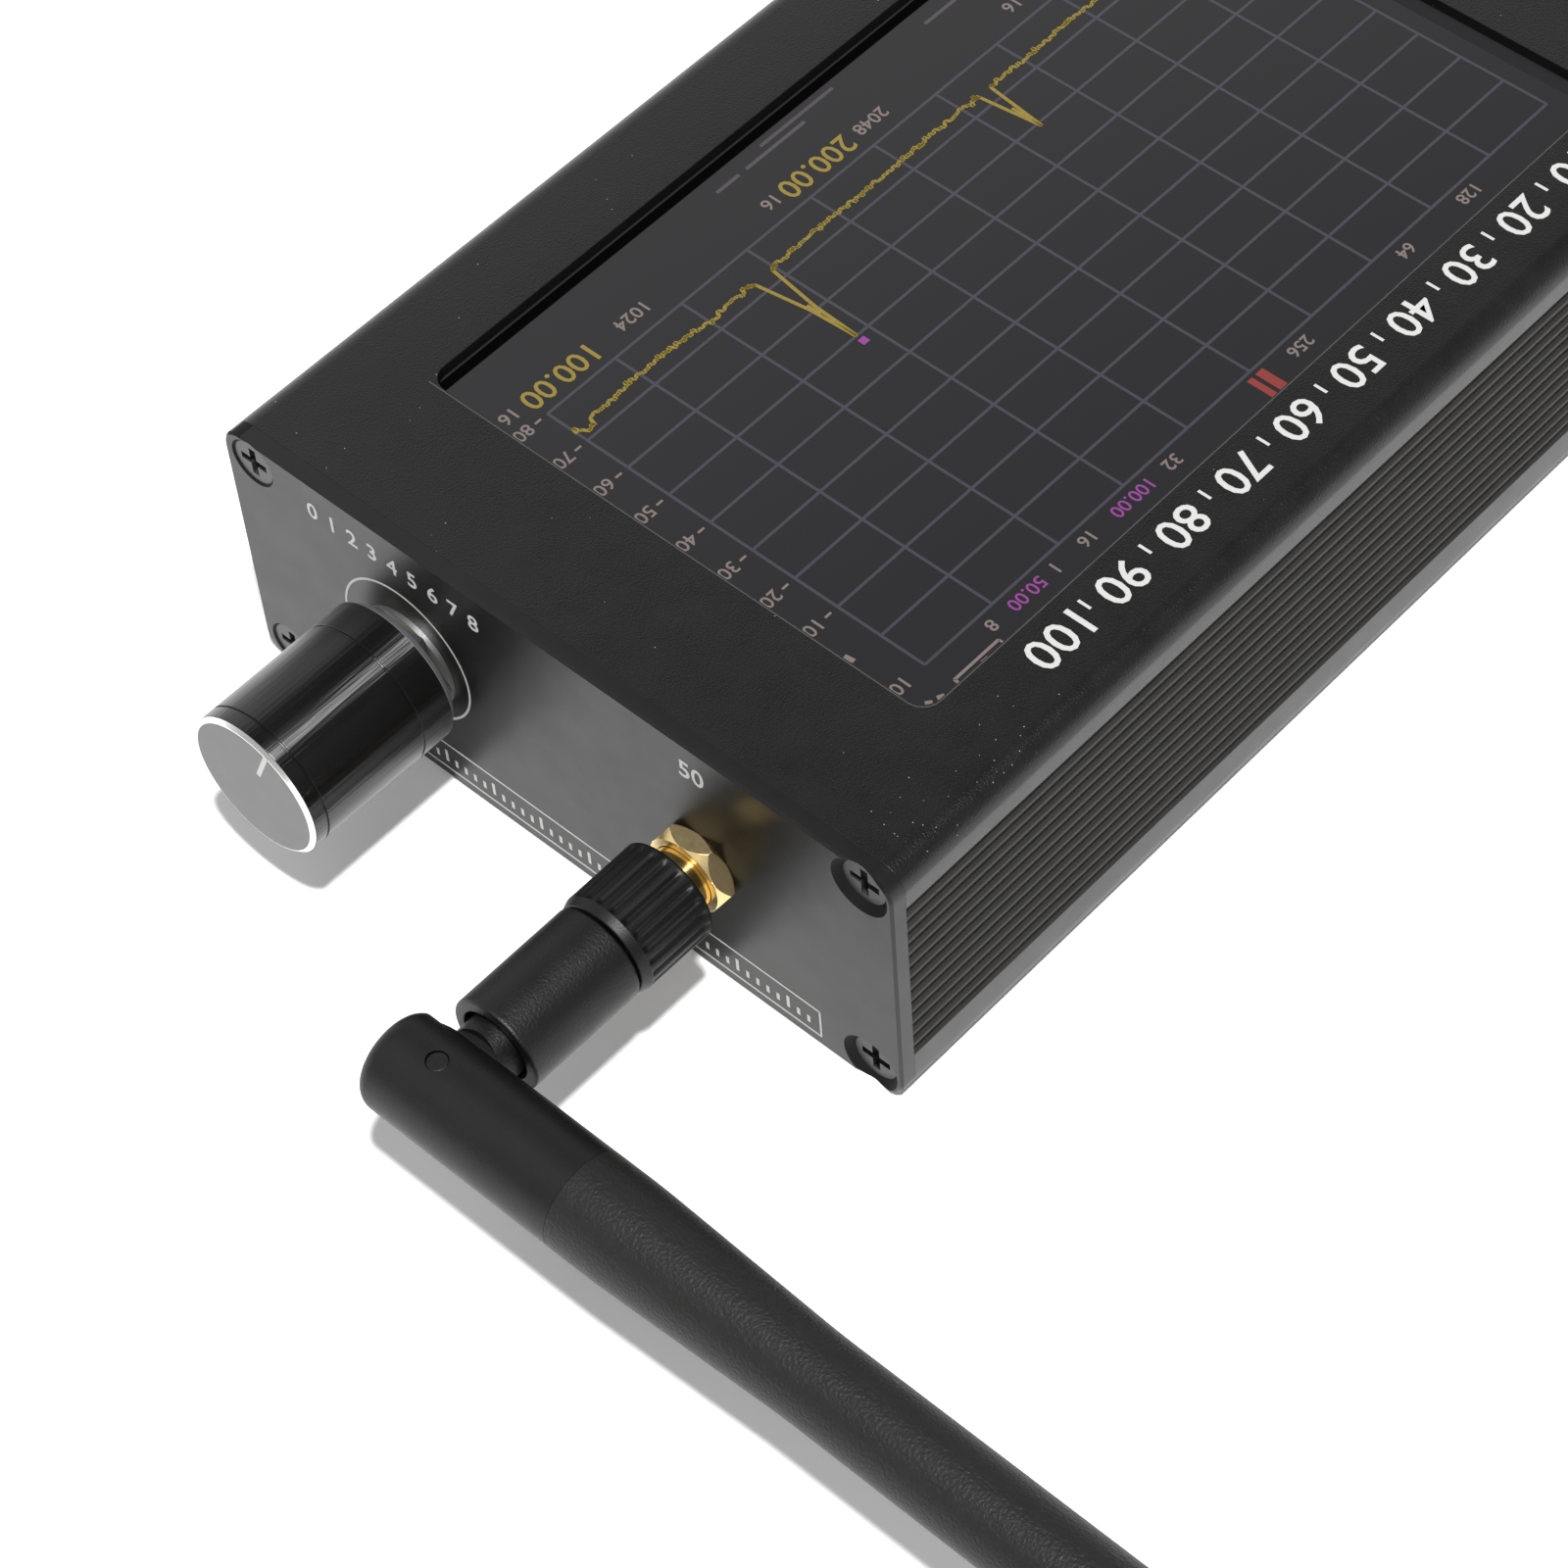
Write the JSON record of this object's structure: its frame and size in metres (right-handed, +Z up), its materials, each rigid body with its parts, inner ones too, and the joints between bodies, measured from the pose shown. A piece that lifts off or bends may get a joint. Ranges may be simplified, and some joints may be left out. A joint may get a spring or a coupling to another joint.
{
  "type": "handheld spectrum analyzer",
  "caption": "Pocket spectrum analyzer: extruded metal case with a colour screen, a knob that turns and pushes, and a folding whip antenna on a coaxial jack.",
  "frame": {"origin": "centre of the case's flat underside", "axes": "+Z up out of the screen, -Y towards the end with the knob and the jack, +X towards the jack's side"},
  "size_m": [0.1409, 0.168, 0.031],
  "materials": {
    "black_anodised": "fine bead-blasted black anodised",
    "grey_anodised": "bead-blasted dark grey anodised",
    "black_steel": "black zinc, satin",
    "gasket_foam": "matt foam",
    "bright_steel": "tinned, satin",
    "white_plastic": "milky",
    "screen_glass": "polished",
    "circuit_board": "solder mask, satin",
    "nickel_brass": "nickel plated",
    "amber_film": "polyimide film",
    "ivory_plastic": "moulded",
    "chip_black": "moulded, matt",
    "battery_foil": "laminated pouch",
    "red_sleeving": "flexible sleeving",
    "gold_brass": "gold plated, polished",
    "bare_brass": "drawn",
    "lamp_lens": "clear lens",
    "knob_aluminium": "turned and anodised, glossy",
    "antenna_black": "fine-grained, satin"
  },
  "bodies": {
    "case": {"case_shell": "black_anodised", "front_end_plate": "grey_anodised", "rear_end_plate": "black_anodised", "front_plate_screws": "black_steel", "rear_plate_screws": "black_steel", "window_gasket": "gasket_foam", "lcd_tray": "bright_steel", "lcd_light_guide": "white_plastic", "lcd_glass": "screen_glass", "lcd_tape": "gasket_foam", "display_board": "circuit_board", "main_board": "circuit_board", "board_spacers": "nickel_brass", "spacer_screws": "nickel_brass", "lcd_flex": "amber_film", "flex_connector": "ivory_plastic", "rf_shield_can": "bright_steel", "rf_chips": "chip_black", "processor_chip": "chip_black", "battery_cell": "battery_foil", "battery_tape": "gasket_foam", "battery_header": "ivory_plastic", "battery_plug": "ivory_plastic", "battery_leads": "red_sleeving", "encoder_bushing": "nickel_brass", "encoder_housing": "chip_black", "encoder_dome": "bright_steel", "encoder_pins": "nickel_brass", "encoder_washer": "bright_steel", "encoder_nut": "nickel_brass", "jack_shell": "gold_brass", "jack_insulator": "white_plastic", "jack_contact": "gold_brass", "jack_lock_washer": "gold_brass", "jack_nut": "gold_brass", "switch_body": "chip_black", "socket_shell": "bright_steel", "socket_tongue": "chip_black", "charge_lamp": "lamp_lens"},
    "push": {"encoder_plunger": "white_plastic"},
    "knob": {"encoder_shaft": "nickel_brass", "knob_core": "chip_black", "knob_shell": "knob_aluminium"},
    "coupling": {"coupling_sleeve": "antenna_black", "coupling_insert": "gold_brass"},
    "elbow": {"antenna_ferrule": "gold_brass", "antenna_insulator": "white_plastic", "antenna_pin": "gold_brass", "antenna_stub": "antenna_black", "elbow_knuckle": "antenna_black"},
    "whip": {"hinge_pin": "black_steel", "whip_base": "antenna_black", "whip_radome": "antenna_black", "whip_element": "bare_brass"},
    "switch_lever": {"switch_lever": "chip_black"}
  },
  "joints": [
    {"name": "knob_push", "type": "slide", "parent": "case", "child": "push", "axis": [0, 1, 0], "range_m": [0, 0.0005], "stiffness_N_per_m": 4000},
    {"name": "knob_turn", "type": "hinge", "parent": "push", "child": "knob", "pos_m": [-0.0182, -0.0755, 0.0155], "axis": [0, 1, 0], "continuous": true},
    {"name": "coupling_turn", "type": "hinge", "parent": "case", "child": "coupling", "pos_m": [0.0172, -0.0723, 0.0155], "axis": [0, 1, 0], "continuous": true},
    {"name": "antenna_swivel", "type": "hinge", "parent": "case", "child": "elbow", "pos_m": [0.0172, -0.084, 0.0155], "axis": [0, 1, 0], "continuous": true},
    {"name": "whip_fold", "type": "hinge", "parent": "elbow", "child": "whip", "pos_m": [0.0172, -0.0962, 0.0155], "axis": [0, 0, 1], "range_deg": [-90, 0]},
    {"name": "power_slide", "type": "slide", "parent": "case", "child": "switch_lever", "axis": [1, 0, 0], "range_m": [0, 0.002]}
  ]
}
